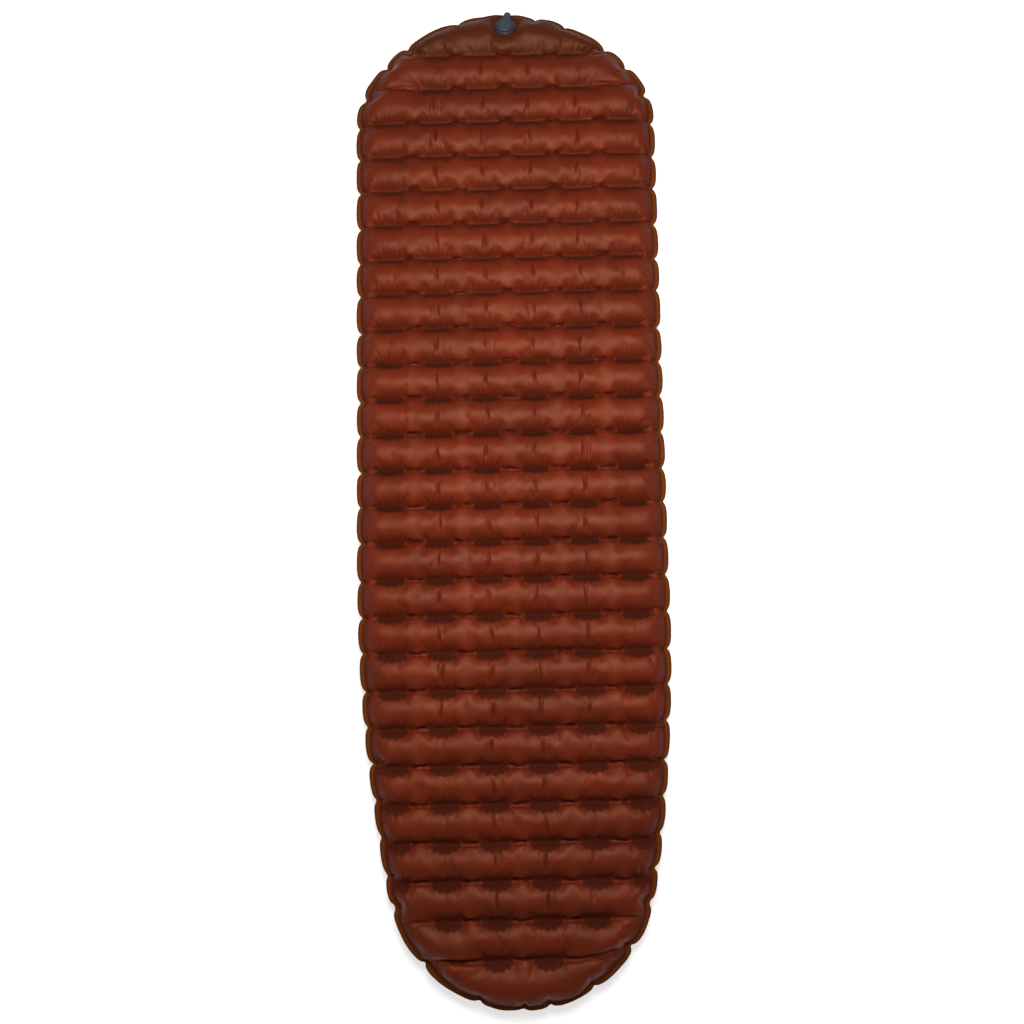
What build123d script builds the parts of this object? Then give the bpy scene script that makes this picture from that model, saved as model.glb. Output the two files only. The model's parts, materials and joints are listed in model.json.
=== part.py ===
"""Inflatable sleeping pad with horizontal chambers, a perimeter weld and a two-stage flat valve.

The pad lies flat. +Z is up, +Y runs to the head end, where the valve is, and X is the width.
The origin is under the middle of the pad, on the ground. Every length is in millimetres.

Two sheets of coated fabric are welded together round the rim. Inside, one web for each seam
ties the top sheet to the bottom one, which divides the pad into chambers. A web ends short of
the rim, so that air passes from chamber to chamber. The webs are welded to the sheets at tabs,
and their edges are cut away between the tabs.

The valve has a base welded on the head chamber. A plug sits in the base and pulls straight out
to let the air go. The plug holds a one-way flap, through which the pad is filled, and a hinged
lid with a pull tab closes the filling port.
"""

import os
from math import cos, radians, sin, sqrt

from build123d import *

os.makedirs("parts", exist_ok=True)

# ---------------------------------------------------------------- driving dimensions: pad
pad_length = 1830.0  # over the rim weld
pad_width = 558.0  # over the rim weld
pad_height = 72.0  # ground to the crest of a chamber
chamber_count = 27
end_chamber_extra = 13.3  # how much longer the first and last chambers are
rim_weld_width = 8.0
sheet_thickness = 0.8
weld_land = 8.0  # width of the flat seam between two chambers
bulge_rise = 19.0  # seam to crest, on the top sheet
ground_flat_rise = 1.0  # how much of the bottom bulge is pressed flat by the ground
rim_wall = 4.0  # height of the upright wall at the rim, between the two rounded edges

head_end_depth = 215.0  # length of the rounded head end
head_corner_radius = 150.0
taper_start = -200.0  # where the sides begin to close in towards the foot
taper_radius = 2900.0

# ---------------------------------------------------------------- driving dimensions: webs
web_thickness = 0.5
web_tab_length = 50.0
web_tab_pitch = 88.0
web_tabs_each_side = 3
web_scallop_depth = 8.0
web_rim_gap = 10.0  # least air gap between a web's end and the rim
end_web_rim_gap = 60.0  # the same, at the short webs beside each end
short_webs = 2  # how many webs at each end are short ones
least_tab_length = 15.0

# ---------------------------------------------------------------- driving dimensions: valve
valve_offset = 5.0  # from the middle of the pad, to the +X side
valve_tilt = 12.0  # degrees, towards the head end
valve_clocking = 13.0  # degrees, pull tab turned towards +X
contact_gap = 0.05  # between closed faces of the valve that seal on each other

bore_radius = 12.6  # of the base, for the plug
neck_wall = 2.0
neck_depth = 4.4
neck_clearance = 0.1
collar_wall = 4.8
base_height = 5.0
base_flange_width = 5.0
base_flange_thickness = 1.6
bore_lead_in = 0.8
recess_margin = 1.4  # flat of the recess outside the base's flange

plug_clearance = 0.1
plug_seat_width = 3.6
plug_flange_thickness = 1.5
ring_section_radius = 0.65
ring_groove_width = 1.8
ring_height = -0.3  # centre of the ring, from the recess floor

port_radius = 8.0  # filling port in the plug, where the lid's boss goes
port_depth = 3.4
nozzle_step = 0.4
nozzle_seat_length = 2.8  # below the port, where a pump's nozzle seats
throat_step = 0.5
spider_thickness = 1.6
window_count = 6
window_radius = 1.8
window_rim = 0.9

flap_overlap = 2.7
flap_thickness = 0.8
flap_travel = 2.0
flap_stem_radius = 1.0
flap_stem_clearance = 0.2
flap_bulb_rim = 0.7
flap_bulb_height = 0.9

hinge_pin_radius = 0.75
hinge_pin_proud = 0.0  # pin's end past the outer face of a lug
hinge_set_in = 2.0  # hinge axis from the edge of the plug's flange
hinge_knuckle_wall = 0.8
hinge_knuckle_length = 11.4
hinge_lug_thickness = 2.0
hinge_side_gap = 0.15
hinge_running_gap = 0.05
hinge_press_gap = 0.01

washer_set_out = 0.6
washer_width = 1.5
washer_thickness = 0.85
washer_groove_gap = 0.1
lid_rim = 1.5
lid_thickness = 1.9
lid_edge_round = 0.35
lid_boss_clearance = 0.3
lid_boss_taper = 0.6
lid_boss_depth = 3.1
pull_tab_width = 12.8
pull_tab_overhang = 7.9  # past the base's flange
pull_tab_thickness = 2.2
pull_tab_lift = 0.3  # underside of the tab above the underside of the lid
pull_tab_rib_count = 3
pull_tab_rib_pitch = 2.2
pull_tab_rib_radius = 0.5
dimple_radius = 2.0
dimple_depth = 0.7
dimple_side = 5.2
dimple_forward = 5.6

# ---------------------------------------------------------------- worked out: pad
half_length = pad_length / 2
half_width = pad_width / 2
middle = pad_height / 2
chamber_pitch = (
    pad_length - 2 * rim_weld_width - 2 * end_chamber_extra
) / chamber_count
seam_count = chamber_count - 1
seam_places = [
    (i - (seam_count - 1) / 2) * chamber_pitch for i in reversed(range(seam_count))
]  # from the head to the foot
edge_round = middle - rim_wall / 2

# ---------------------------------------------------------------- worked out: valve
neck_radius = bore_radius + neck_wall
collar_radius = bore_radius + collar_wall
base_flange_radius = neck_radius + base_flange_width
recess_radius = base_flange_radius + recess_margin
plug_radius = bore_radius - plug_clearance
plug_flange_radius = bore_radius + plug_seat_width
plug_deck = base_height + contact_gap + plug_flange_thickness  # top face of the plug
plug_foot = -neck_depth
spider_top = plug_foot + spider_thickness
nozzle_radius = port_radius - nozzle_step
throat_radius = nozzle_radius - throat_step
nozzle_top = plug_deck - port_depth
nozzle_floor = nozzle_top - nozzle_seat_length
window_circle_radius = throat_radius - window_rim - window_radius
hub_hole_radius = flap_stem_radius + flap_stem_clearance
flap_radius = window_circle_radius + window_radius + flap_overlap

hinge_offset = plug_flange_radius - hinge_set_in  # hinge axis from the valve's axis
knuckle_radius = hinge_pin_radius + hinge_knuckle_wall
lug_radius = knuckle_radius + 2 * contact_gap
hinge_height = plug_deck + knuckle_radius + 3 * contact_gap
lug_middle = hinge_knuckle_length / 2 + hinge_side_gap + hinge_lug_thickness / 2

lid_floor = plug_deck + 2 * contact_gap
washer_inner_radius = port_radius + washer_set_out
washer_outer_radius = washer_inner_radius + washer_width
lid_radius = washer_outer_radius + lid_rim
lid_boss_radius = port_radius - lid_boss_clearance
lid_boss_tip_radius = lid_boss_radius - lid_boss_taper
pull_tab_reach = base_flange_radius + pull_tab_overhang

valve_seat_depth = edge_round - sqrt(edge_round**2 - recess_radius**2)
valve_reach = edge_round - valve_seat_depth
valve_origin = (
    valve_offset,
    half_length
    - rim_weld_width
    - edge_round
    + valve_reach * sin(radians(valve_tilt)),
    middle + rim_wall / 2 + valve_reach * cos(radians(valve_tilt)),
)
valve_place = (
    Plane(
        origin=valve_origin,
        x_dir=(1, 0, 0),
        z_dir=(0, sin(radians(valve_tilt)), cos(radians(valve_tilt))),
    ).location
    * Location((0, 0, 0), (0, 0, -valve_clocking))
)


def outline(inset):
    """The pad's plan as a face. Every arc keeps its centre as the inset grows."""
    wide = half_width - inset
    top = half_length - inset
    corner = head_corner_radius
    end = (half_width**2 + head_end_depth**2 - 2 * half_width * corner) / (
        2 * (head_end_depth - corner)
    )
    head_start = half_length - head_end_depth
    corner_x = half_width - corner
    end_y = half_length - end
    lean = sqrt(corner_x**2 + (head_start - end_y) ** 2)
    ux, uy = corner_x / lean, (head_start - end_y) / lean
    join = ((end - inset) * ux, end_y + (end - inset) * uy)

    side_x = half_width - taper_radius
    foot_y = (
        (taper_radius - half_length) ** 2 - side_x**2 - taper_start**2
    ) / (2 * (taper_radius - half_length - taper_start))
    foot = half_length + foot_y
    reach = sqrt(side_x**2 + (foot_y - taper_start) ** 2)
    vx, vy = -side_x / reach, (foot_y - taper_start) / reach
    foot_join = ((foot - inset) * vx, foot_y + (foot - inset) * vy)

    right = [
        RadiusArc((0, top), join, end - inset),
        RadiusArc(join, (wide, head_start), corner - inset),
        Line((wide, head_start), (wide, taper_start)),
        RadiusArc((wide, taper_start), foot_join, taper_radius - inset),
        RadiusArc(foot_join, (0, -top), foot - inset),
    ]
    left = [edge.mirror(Plane.YZ) for edge in reversed(right)]
    return make_face(Wire(right + left))


def half_chord(y, inset):
    """Half the pad's width at a place along it, inside a given inset."""
    cut = outline(inset) & Pos(0, y) * Rectangle(2 * pad_width, 0.01)
    return cut.bounding_box().size.X / 2


def bulge(rise, inset):
    """Radius and half chord of a chamber's arc, inside the sheet by inset."""
    half = (chamber_pitch - weld_land) / 2
    radius = (half**2 + rise**2) / (2 * rise)
    drop = radius - rise  # centre of the arc below the seam
    inner = radius - inset
    return inner, sqrt(inner**2 - (drop - inset) ** 2)


def chamber_line(seam_z, rise, inset, up):
    """Edges of one side of the chambers' lengthwise section, from the foot to the head."""
    sign = 1 if up else -1
    radius, half = bulge(rise, inset)
    crest = seam_z + sign * (rise - inset)
    land = seam_z - sign * inset
    far = half_length + weld_land
    seams = sorted(seam_places)
    first, last = seams[0] - chamber_pitch / 2, seams[-1] + chamber_pitch / 2
    edges = [Line((0, -far, crest), (0, first, crest))]
    end_bow = radius * sin(radians(30))
    end_fall = radius * (1 - cos(radians(30)))
    edges.append(
        ThreePointArc(
            (0, first, crest),
            (0, first + end_bow, crest - sign * end_fall),
            (0, first + half, land),
        )
    )
    for here, following in zip(seams, seams[1:] + [None]):
        start = here + chamber_pitch / 2 - half
        edges.append(Line((0, here - chamber_pitch / 2 + half, land), (0, start, land)))
        if following is not None:
            centre = (here + following) / 2
            edges.append(
                ThreePointArc((0, start, land), (0, centre, crest), (0, centre + half, land))
            )
    edges.append(
        ThreePointArc(
            (0, last - half, land),
            (0, last - end_bow, crest - sign * end_fall),
            (0, last, crest),
        )
    )
    edges.append(Line((0, last, crest), (0, far, crest)))
    return edges


def air_body(inset):
    """Everything inside the fabric, inset by part of its thickness: 0 gives the outer face."""
    top_seam = pad_height - bulge_rise
    bottom_seam = bulge_rise
    far = half_length + weld_land
    upper = chamber_line(top_seam, bulge_rise, inset, True)
    lower = chamber_line(bottom_seam, bulge_rise + ground_flat_rise, inset, False)
    high, low = pad_height - inset, -ground_flat_rise + inset
    ends = [Line((0, y, low), (0, y, high)) for y in (-far, far)]
    section = make_face(Wire(upper + lower + ends))
    bars = extrude(section, pad_width, dir=(1, 0, 0), both=True)
    pillow = extrude(Pos(0, 0, inset) * outline(rim_weld_width + inset), pad_height - 2 * inset)
    rims = pillow.edges().filter_by(
        lambda e: abs(abs(e.center().Z - middle) - (middle - inset)) < sheet_thickness / 4
    )
    pillow = fillet(rims, edge_round - inset)
    recess_floor = valve_place * Pos(0, 0, -inset)
    recess = extrude(recess_floor * Circle(recess_radius + inset), pad_height)
    return (bars & pillow) - recess


def sheet(outer, inner, up):
    """One fabric sheet: half of the skin between two air bodies, with its part of the rim weld."""
    size = 2 * pad_length
    keep = Pos(0, 0, middle + (size / 2 if up else -size / 2)) * Box(size, size, size)
    skin = (outer - inner) & keep
    rim = extrude(
        Pos(0, 0, middle) * (outline(0) - outline(rim_weld_width + sheet_thickness)),
        sheet_thickness if up else -sheet_thickness,
    )
    return skin + rim


def tab_spans(reach):
    """The stretches of a web that are welded, as (start, end) pairs along X."""
    spans = []
    for k in range(web_tabs_each_side):
        start = (k + 0.5) * web_tab_pitch - web_tab_length / 2
        end = min(start + web_tab_length, reach)
        if end - start >= least_tab_length:
            spans += [(start, end), (-end, -start)]
    return sorted(spans)


def web(y, reach):
    """One web: an upright strip, weld tabs along both edges and scallops between them."""
    low = bulge_rise + sheet_thickness
    high = pad_height - bulge_rise - sheet_thickness
    spans = tab_spans(reach)
    end = spans[-1][1]
    strip = Pos(0, y, middle) * Box(2 * end, web_thickness, high - low)
    for (_, start), (finish, _) in zip(spans, spans[1:]):
        half = (finish - start) / 2
        radius = (half**2 + web_scallop_depth**2) / (2 * web_scallop_depth)
        for z in (high - web_scallop_depth + radius, low + web_scallop_depth - radius):
            cutter = Rot(90, 0, 0) * Cylinder(radius, weld_land)
            strip -= Pos((start + finish) / 2, y, z) * cutter
    for start, finish in spans:
        for z in (high - web_thickness / 2, low + web_thickness / 2):
            strip += Pos((start + finish) / 2, y, z) * Box(
                finish - start, weld_land, web_thickness
            )
    return strip


def turned(points):
    """A solid of revolution about Z from a closed line of (radius, height) points."""
    line = Polyline(*[(r, 0, z) for r, z in points], close=True)
    return revolve(make_face(line), Axis.Z)


def valve_base():
    """Flange on the fabric, collar, and neck through the fabric with the plug's bore."""
    body = turned(
        [
            (bore_radius, -neck_depth),
            (neck_radius, -neck_depth),
            (neck_radius, 0),
            (base_flange_radius, 0),
            (base_flange_radius, base_flange_thickness),
            (collar_radius, base_height),
            (bore_radius + bore_lead_in, base_height),
            (bore_radius, base_height - bore_lead_in),
        ]
    )
    rims = body.edges().filter_by(GeomType.CIRCLE)
    outer = [
        e
        for e in rims
        if e.radius > collar_radius - contact_gap and e.center().Z > contact_gap
    ]
    return fillet(outer, base_flange_thickness / 2)


def plug_body():
    """Deflation plug: barrel with a ring groove, deck, filling port, spider and lugs."""
    groove_floor = bore_radius - 2 * contact_gap - 2 * ring_section_radius
    groove_low = ring_height - ring_groove_width / 2
    groove_high = ring_height + ring_groove_width / 2
    body = turned(
        [
            (0, plug_foot),
            (plug_radius, plug_foot),
            (plug_radius, groove_low),
            (groove_floor, groove_low),
            (groove_floor, groove_high),
            (plug_radius, groove_high),
            (plug_radius, base_height + contact_gap),
            (plug_flange_radius, base_height + contact_gap),
            (plug_flange_radius, plug_deck),
            (port_radius, plug_deck),
            (port_radius, nozzle_top),
            (nozzle_radius, nozzle_top),
            (nozzle_radius, nozzle_floor),
            (throat_radius, nozzle_floor),
            (throat_radius, spider_top),
            (0, spider_top),
        ]
    )
    through = 4 * spider_thickness
    holes = [Cylinder(hub_hole_radius, through)]
    holes += PolarLocations(window_circle_radius, window_count) * Cylinder(
        window_radius, through
    )
    for hole in holes:
        body -= Pos(0, 0, plug_foot + spider_thickness / 2) * hole
    for side in (-1, 1):
        eye = across(lug_radius, hinge_lug_thickness)
        root = Pos(0, 0, (plug_deck - hinge_height) / 2) * Box(
            hinge_lug_thickness, 2 * lug_radius, hinge_height - plug_deck
        )
        hole = across(hinge_pin_radius + hinge_press_gap, 2 * hinge_lug_thickness)
        lug = eye + root - hole
        body += Pos(side * lug_middle, -hinge_offset, hinge_height) * lug
    return body


def across(radius, length):
    """A cylinder lying along X."""
    return Rot(0, 90, 0) * Cylinder(radius, length)


def plug_ring():
    """Sealing ring in the plug's groove."""
    centre = bore_radius - contact_gap - ring_section_radius
    return Pos(0, 0, ring_height) * Torus(centre, ring_section_radius)


def hinge_pin():
    """Pin through the plug's lugs and the lid's knuckle."""
    length = 2 * lug_middle + hinge_lug_thickness + 2 * hinge_pin_proud
    return Pos(0, -hinge_offset, hinge_height) * across(hinge_pin_radius, length)


def one_way_flap():
    """Silicone flap under the spider, with its stem and the bulb that holds it."""
    top = plug_foot - contact_gap
    bulb_low = spider_top + flap_travel + contact_gap
    bulb_top = bulb_low + flap_bulb_height
    return turned(
        [
            (0, top - flap_thickness),
            (flap_radius, top - flap_thickness / 2),
            (flap_radius, top),
            (flap_stem_radius, top),
            (flap_stem_radius, bulb_low),
            (flap_stem_radius + flap_bulb_rim, bulb_low),
            (flap_stem_radius, bulb_top),
            (0, bulb_top),
        ]
    )


def lid_plate():
    """The lid's plate: a disc that narrows to the hinge, stepped in to clear the lugs."""
    knuckle_half = hinge_knuckle_length / 2
    shoulder = hinge_offset - lug_radius - hinge_side_gap
    neck_half = knuckle_half + hinge_lug_thickness
    right = [(lid_radius, 0), (neck_half, -shoulder), (knuckle_half, -shoulder)]
    right.append((knuckle_half, -hinge_offset))
    left = [(-x, y) for x, y in reversed(right)]
    plan = Circle(lid_radius) + make_face(Polyline(*right, *left, close=True))
    clear_of_lugs = Rectangle(2 * neck_half, hinge_offset - shoulder + lug_radius)
    strip = Rectangle(hinge_knuckle_length, hinge_offset - shoulder + lug_radius)
    notch = clear_of_lugs - strip
    depth = hinge_offset - shoulder + lug_radius
    plan -= Pos(0, -shoulder - depth / 2) * notch
    return extrude(Pos(0, 0, lid_floor) * plan, lid_thickness)


def lid_pull_tab():
    """The lid's pull tab, with its upper edge eased and grip grooves across its end."""
    length = pull_tab_reach - pull_tab_width / 2
    plan = (
        Pos(0, length / 2) * Rectangle(pull_tab_width, length)
        + Pos(0, length) * Circle(pull_tab_width / 2)
        - Circle(washer_outer_radius + washer_groove_gap)
    )
    tab = extrude(Pos(0, 0, lid_floor + pull_tab_lift) * plan, pull_tab_thickness)
    top = lid_floor + pull_tab_lift + pull_tab_thickness
    tab = fillet(tab.edges().filter_by_position(Axis.Z, top, top), lid_edge_round)
    for k in range(pull_tab_rib_count):
        groove = across(pull_tab_rib_radius, pull_tab_width / 2)
        tab -= Pos(0, length - (k - 1) * pull_tab_rib_pitch, top) * groove
    return tab


def lid():
    """Lid of the filling port: plate, boss, washer groove, dimples, knuckle and pull tab."""
    hinge = Pos(0, -hinge_offset, hinge_height)
    behind = Box(2 * lid_radius, lid_radius, lid_radius)
    body = lid_plate() + lid_pull_tab()
    body -= hinge * Pos(0, -lid_radius / 2, 0) * behind
    body += hinge * across(knuckle_radius, hinge_knuckle_length)
    body -= hinge * across(hinge_pin_radius + hinge_running_gap, 2 * hinge_knuckle_length)
    body += turned(
        [
            (0, lid_floor - lid_boss_depth),
            (lid_boss_tip_radius, lid_floor - lid_boss_depth),
            (lid_boss_radius, lid_floor),
            (lid_boss_radius, lid_floor + lid_thickness / 2),
            (0, lid_floor + lid_thickness / 2),
        ]
    )
    groove = Circle(washer_outer_radius + washer_groove_gap) - Circle(
        washer_inner_radius - washer_groove_gap
    )
    body -= extrude(Pos(0, 0, lid_floor) * groove, washer_thickness - contact_gap)
    for side in (-1, 1):
        dimple = Cylinder(dimple_radius, 2 * dimple_depth)
        body -= Pos(side * dimple_side, dimple_forward, lid_floor + lid_thickness) * dimple
    return body


def lid_washer():
    """Flat face seal under the lid, round the filling port."""
    ring = Circle(washer_outer_radius) - Circle(washer_inner_radius)
    return extrude(Pos(0, 0, lid_floor - contact_gap) * ring, washer_thickness)


def write(name, shape):
    """Writes one sub-part to its own file."""
    export_step(Compound(children=list(shape.solids())), f"parts/{name}.step")


outer_face = air_body(0)
inner_face = air_body(sheet_thickness)
top_sheet = sheet(outer_face, inner_face, True)
top_sheet -= valve_place * Cylinder(neck_radius + neck_clearance, 4 * neck_depth)
write("top_sheet", top_sheet)
write("bottom_sheet", sheet(outer_face, inner_face, False))

tabs_reach = (web_tabs_each_side - 0.5) * web_tab_pitch + web_tab_length / 2
for number, place in enumerate(seam_places, start=1):
    at_an_end = min(number, seam_count + 1 - number) <= short_webs
    gap = end_web_rim_gap if at_an_end else web_rim_gap
    reach = min(tabs_reach, half_chord(place, rim_weld_width) - gap)
    write(f"web_{number:02d}", web(place, reach))

write("valve_base", valve_place * valve_base())
write("plug_body", valve_place * plug_body())
write("plug_ring", valve_place * plug_ring())
write("hinge_pin", valve_place * hinge_pin())
write("one_way_flap", valve_place * one_way_flap())
write("lid", valve_place * lid())
write("lid_washer", valve_place * lid_washer())

print("valve origin", [round(v, 4) for v in valve_origin])
print("hinge axis", hinge_offset, hinge_height, "deck", plug_deck, "nozzle", nozzle_floor)
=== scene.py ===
"""Looks of the inflatable sleeping pad: the pad's welded fabric envelope, its webs and its valve.

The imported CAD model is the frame. The envelope is cut as one sheet for each side, blown up as cloth
between its weld tabs, dressed with creases and joined at the rim weld. The valve and the webs keep
their CAD meshes and get their finishes here. Lengths are in metres.
"""

from __future__ import annotations

import json
import logging
import math
from dataclasses import dataclass, field
from enum import Enum

import bmesh
import bpy
import numpy as np
from mathutils import Matrix, Vector

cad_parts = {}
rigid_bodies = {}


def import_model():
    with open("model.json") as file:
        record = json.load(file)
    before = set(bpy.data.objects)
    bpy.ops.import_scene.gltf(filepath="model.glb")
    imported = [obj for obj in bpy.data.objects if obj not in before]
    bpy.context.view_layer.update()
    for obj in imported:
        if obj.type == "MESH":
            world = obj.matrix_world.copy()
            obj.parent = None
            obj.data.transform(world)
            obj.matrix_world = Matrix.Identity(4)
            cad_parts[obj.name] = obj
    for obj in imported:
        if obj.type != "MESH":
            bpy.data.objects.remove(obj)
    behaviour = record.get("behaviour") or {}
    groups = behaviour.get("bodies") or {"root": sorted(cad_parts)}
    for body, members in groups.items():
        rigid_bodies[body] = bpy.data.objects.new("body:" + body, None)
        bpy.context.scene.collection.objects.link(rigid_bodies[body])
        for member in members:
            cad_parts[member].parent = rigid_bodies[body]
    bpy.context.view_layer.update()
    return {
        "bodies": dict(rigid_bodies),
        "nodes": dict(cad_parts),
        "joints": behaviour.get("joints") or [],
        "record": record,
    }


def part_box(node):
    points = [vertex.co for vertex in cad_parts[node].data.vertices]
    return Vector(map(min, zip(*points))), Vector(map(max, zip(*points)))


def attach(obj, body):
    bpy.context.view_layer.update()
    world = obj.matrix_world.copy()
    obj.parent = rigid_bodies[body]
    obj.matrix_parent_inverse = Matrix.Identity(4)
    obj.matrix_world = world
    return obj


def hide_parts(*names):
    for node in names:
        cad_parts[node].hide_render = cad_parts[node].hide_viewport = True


MM = 0.001
Colour = tuple[float, float, float]
log = logging.getLogger("sleeping_pad")


class Side(Enum):
    """The two sheets of the envelope."""

    TOP = 1
    BASE = -1


class Layer(Enum):
    """Names of the values that the envelope keeps at each point."""

    PLAN = "plan"
    # Weld marks: partly the weld's own darker colour, partly painted shade.
    WELD = "weld"
    # The flange, which gets a lighter colour as painted light.
    RIM = "rim"
    # The cut edge of the flange, which gets painted shade.
    HEM = "hem"
    # Painted shade along slits, seam lines and the creases at the ends.
    FOLD = "fold"
    # Painted shade in the wrinkle fans, and in a band on the foot side of the seams in the head rows.
    FAN = "fan"
    HEAD = "head"
    # Painted shade at the row ends along the pad's edge.
    EDGE = "edge"


# ---------------------------------------------------------------- small tools


def srgb(red: float, green: float, blue: float) -> Colour:
    """Turns a colour from display values to linear ones.

    Args:
        red: Display red, 0 to 255.
        green: Display green, 0 to 255.
        blue: Display blue, 0 to 255.

    Returns:
        The linear colour.
    """
    values = [c / 255 for c in (red, green, blue)]
    return tuple(c / 12.92 if c < 0.04045 else ((c + 0.055) / 1.055) ** 2.4 for c in values)


def smooth(value: np.ndarray, low: float, high: float) -> np.ndarray:
    """Goes smoothly from 0 at low to 1 at high."""
    t = np.clip((value - low) / (high - low), 0.0, 1.0)
    return t * t * (3 - 2 * t)


def soft_least(a: np.ndarray, b: np.ndarray, width: float) -> np.ndarray:
    """The lesser of two heights, rounded over a width where they cross."""
    h = np.clip(0.5 + 0.5 * (a - b) / width, 0.0, 1.0)
    return a * (1 - h) + b * h - width * h * (1 - h)


def ripple(plan: np.ndarray, wavelength: float, seed: int, waves: int = 14) -> np.ndarray:
    """An even, unrepeating ripple over the plan, made of plane waves.

    Args:
        plan: Plan positions, one row each.
        wavelength: Typical distance between crests.
        seed: Which ripple.
        waves: How many plane waves are added.

    Returns:
        Values of about -1 to 1.
    """
    rng = np.random.default_rng(seed)
    total = np.zeros(len(plan))
    for turn, stretch, phase in zip(
        rng.uniform(0, math.pi, waves), rng.uniform(0.65, 1.6, waves), rng.uniform(0, math.tau, waves)
    ):
        wave = math.tau * stretch / wavelength
        total += np.sin(wave * (plan[:, 0] * math.cos(turn) + plan[:, 1] * math.sin(turn)) + phase)
    return total / math.sqrt(waves / 2) / 1.6


def points(mesh: bpy.types.Mesh) -> np.ndarray:
    """Reads a mesh's points as rows of three."""
    flat = np.empty(len(mesh.vertices) * 3, np.float32)
    mesh.vertices.foreach_get("co", flat)
    return flat.reshape(-1, 3).astype(float)


def normals(mesh: bpy.types.Mesh) -> np.ndarray:
    """Reads a mesh's point normals as rows of three."""
    flat = np.empty(len(mesh.vertices) * 3, np.float32)
    mesh.vertex_normals.foreach_get("vector", flat)
    return flat.reshape(-1, 3).astype(float)


def place(mesh: bpy.types.Mesh, where: np.ndarray) -> None:
    """Writes a mesh's points from rows of three."""
    mesh.vertices.foreach_set("co", where.astype(np.float32).ravel())
    mesh.update()


def keep_value(mesh: bpy.types.Mesh, layer: Layer, values: np.ndarray) -> None:
    """Stores one number for each point under a layer's name."""
    spot = mesh.attributes.get(layer.value) or mesh.attributes.new(layer.value, "FLOAT", "POINT")
    spot.data.foreach_set("value", values.astype(np.float32))


# ---------------------------------------------------------------- layout of the pad


@dataclass(frozen=True)
class PadLayout:
    """Sizes of the pad that its looks need, read from the frame."""

    rim_height: float
    crest_rise: float
    land_rise: float
    seams: np.ndarray
    reach: np.ndarray
    valve_seat: Vector
    valve_axis: Vector
    tab_pitch: float = 88 * MM
    tab_length: float = 50 * MM
    tabs_each_side: int = 3
    land_width: float = 8 * MM
    flange: float = 8 * MM
    edge_radius: float = 34 * MM
    seat_below_port: float = 1.75 * MM

    @classmethod
    def from_frame(cls, frame: dict) -> "PadLayout":
        """Reads the layout.

        Args:
            frame: The loaded frame.

        Returns:
            The layout.
        """
        webs = sorted(name for name in frame["nodes"] if name.startswith("web_"))
        boxes = [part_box(name) for name in webs]
        rim_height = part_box("bottom_sheet")[1].z
        port = next(m for m in frame["record"]["mounts"] if m["name"] == "pump_port")
        axis = Vector(port["axis"])
        return cls(
            rim_height=rim_height,
            crest_rise=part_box("top_sheet")[1].z - rim_height,
            land_rise=max(high.z for _, high in boxes) - rim_height + 0.8 * MM,
            seams=np.array([(low.y + high.y) / 2 for low, high in boxes]),
            reach=np.array([high.x for _, high in boxes]),
            valve_seat=Vector(port["pos_m"]) - axis * cls.seat_below_port,
            valve_axis=axis,
        )

    @property
    def pitch(self) -> float:
        """Distance between neighbouring seams."""
        return float(abs(self.seams[0] - self.seams[-1]) / (len(self.seams) - 1))

    @property
    def row_half(self) -> float:
        """Half a row, from its middle to its land."""
        return self.pitch / 2 - self.land_width / 2

    @property
    def row_radius(self) -> float:
        """Radius of a row's round back."""
        rise = self.crest_rise - self.land_rise
        return (self.row_half**2 + rise**2) / (2 * rise)

    def tabs(self, index: int) -> list[tuple[float, float]]:
        """Lists the weld tabs of one web.

        Args:
            index: Which web, from the head.

        Returns:
            Start and end of each tab, across the pad.
        """
        found = []
        for k in range(self.tabs_each_side):
            middle = (k + 0.5) * self.tab_pitch
            start, end = middle - self.tab_length / 2, min(middle + self.tab_length / 2, self.reach[index])
            if end - start > 12 * MM:
                found += [(start, end), (-end, -start)]
        return found

    def from_valve(self, plan: np.ndarray) -> np.ndarray:
        """Distance of plan positions from the valve's middle."""
        return np.hypot(plan[:, 0] - self.valve_seat.x, plan[:, 1] - self.valve_seat.y)

    def valve_plane(self, plan: np.ndarray) -> np.ndarray:
        """Height above the rim of the flat that the valve stands on."""
        lean = self.valve_axis.y / self.valve_axis.z
        return self.valve_seat.z - self.rim_height - (plan[:, 1] - self.valve_seat.y) * lean


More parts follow.
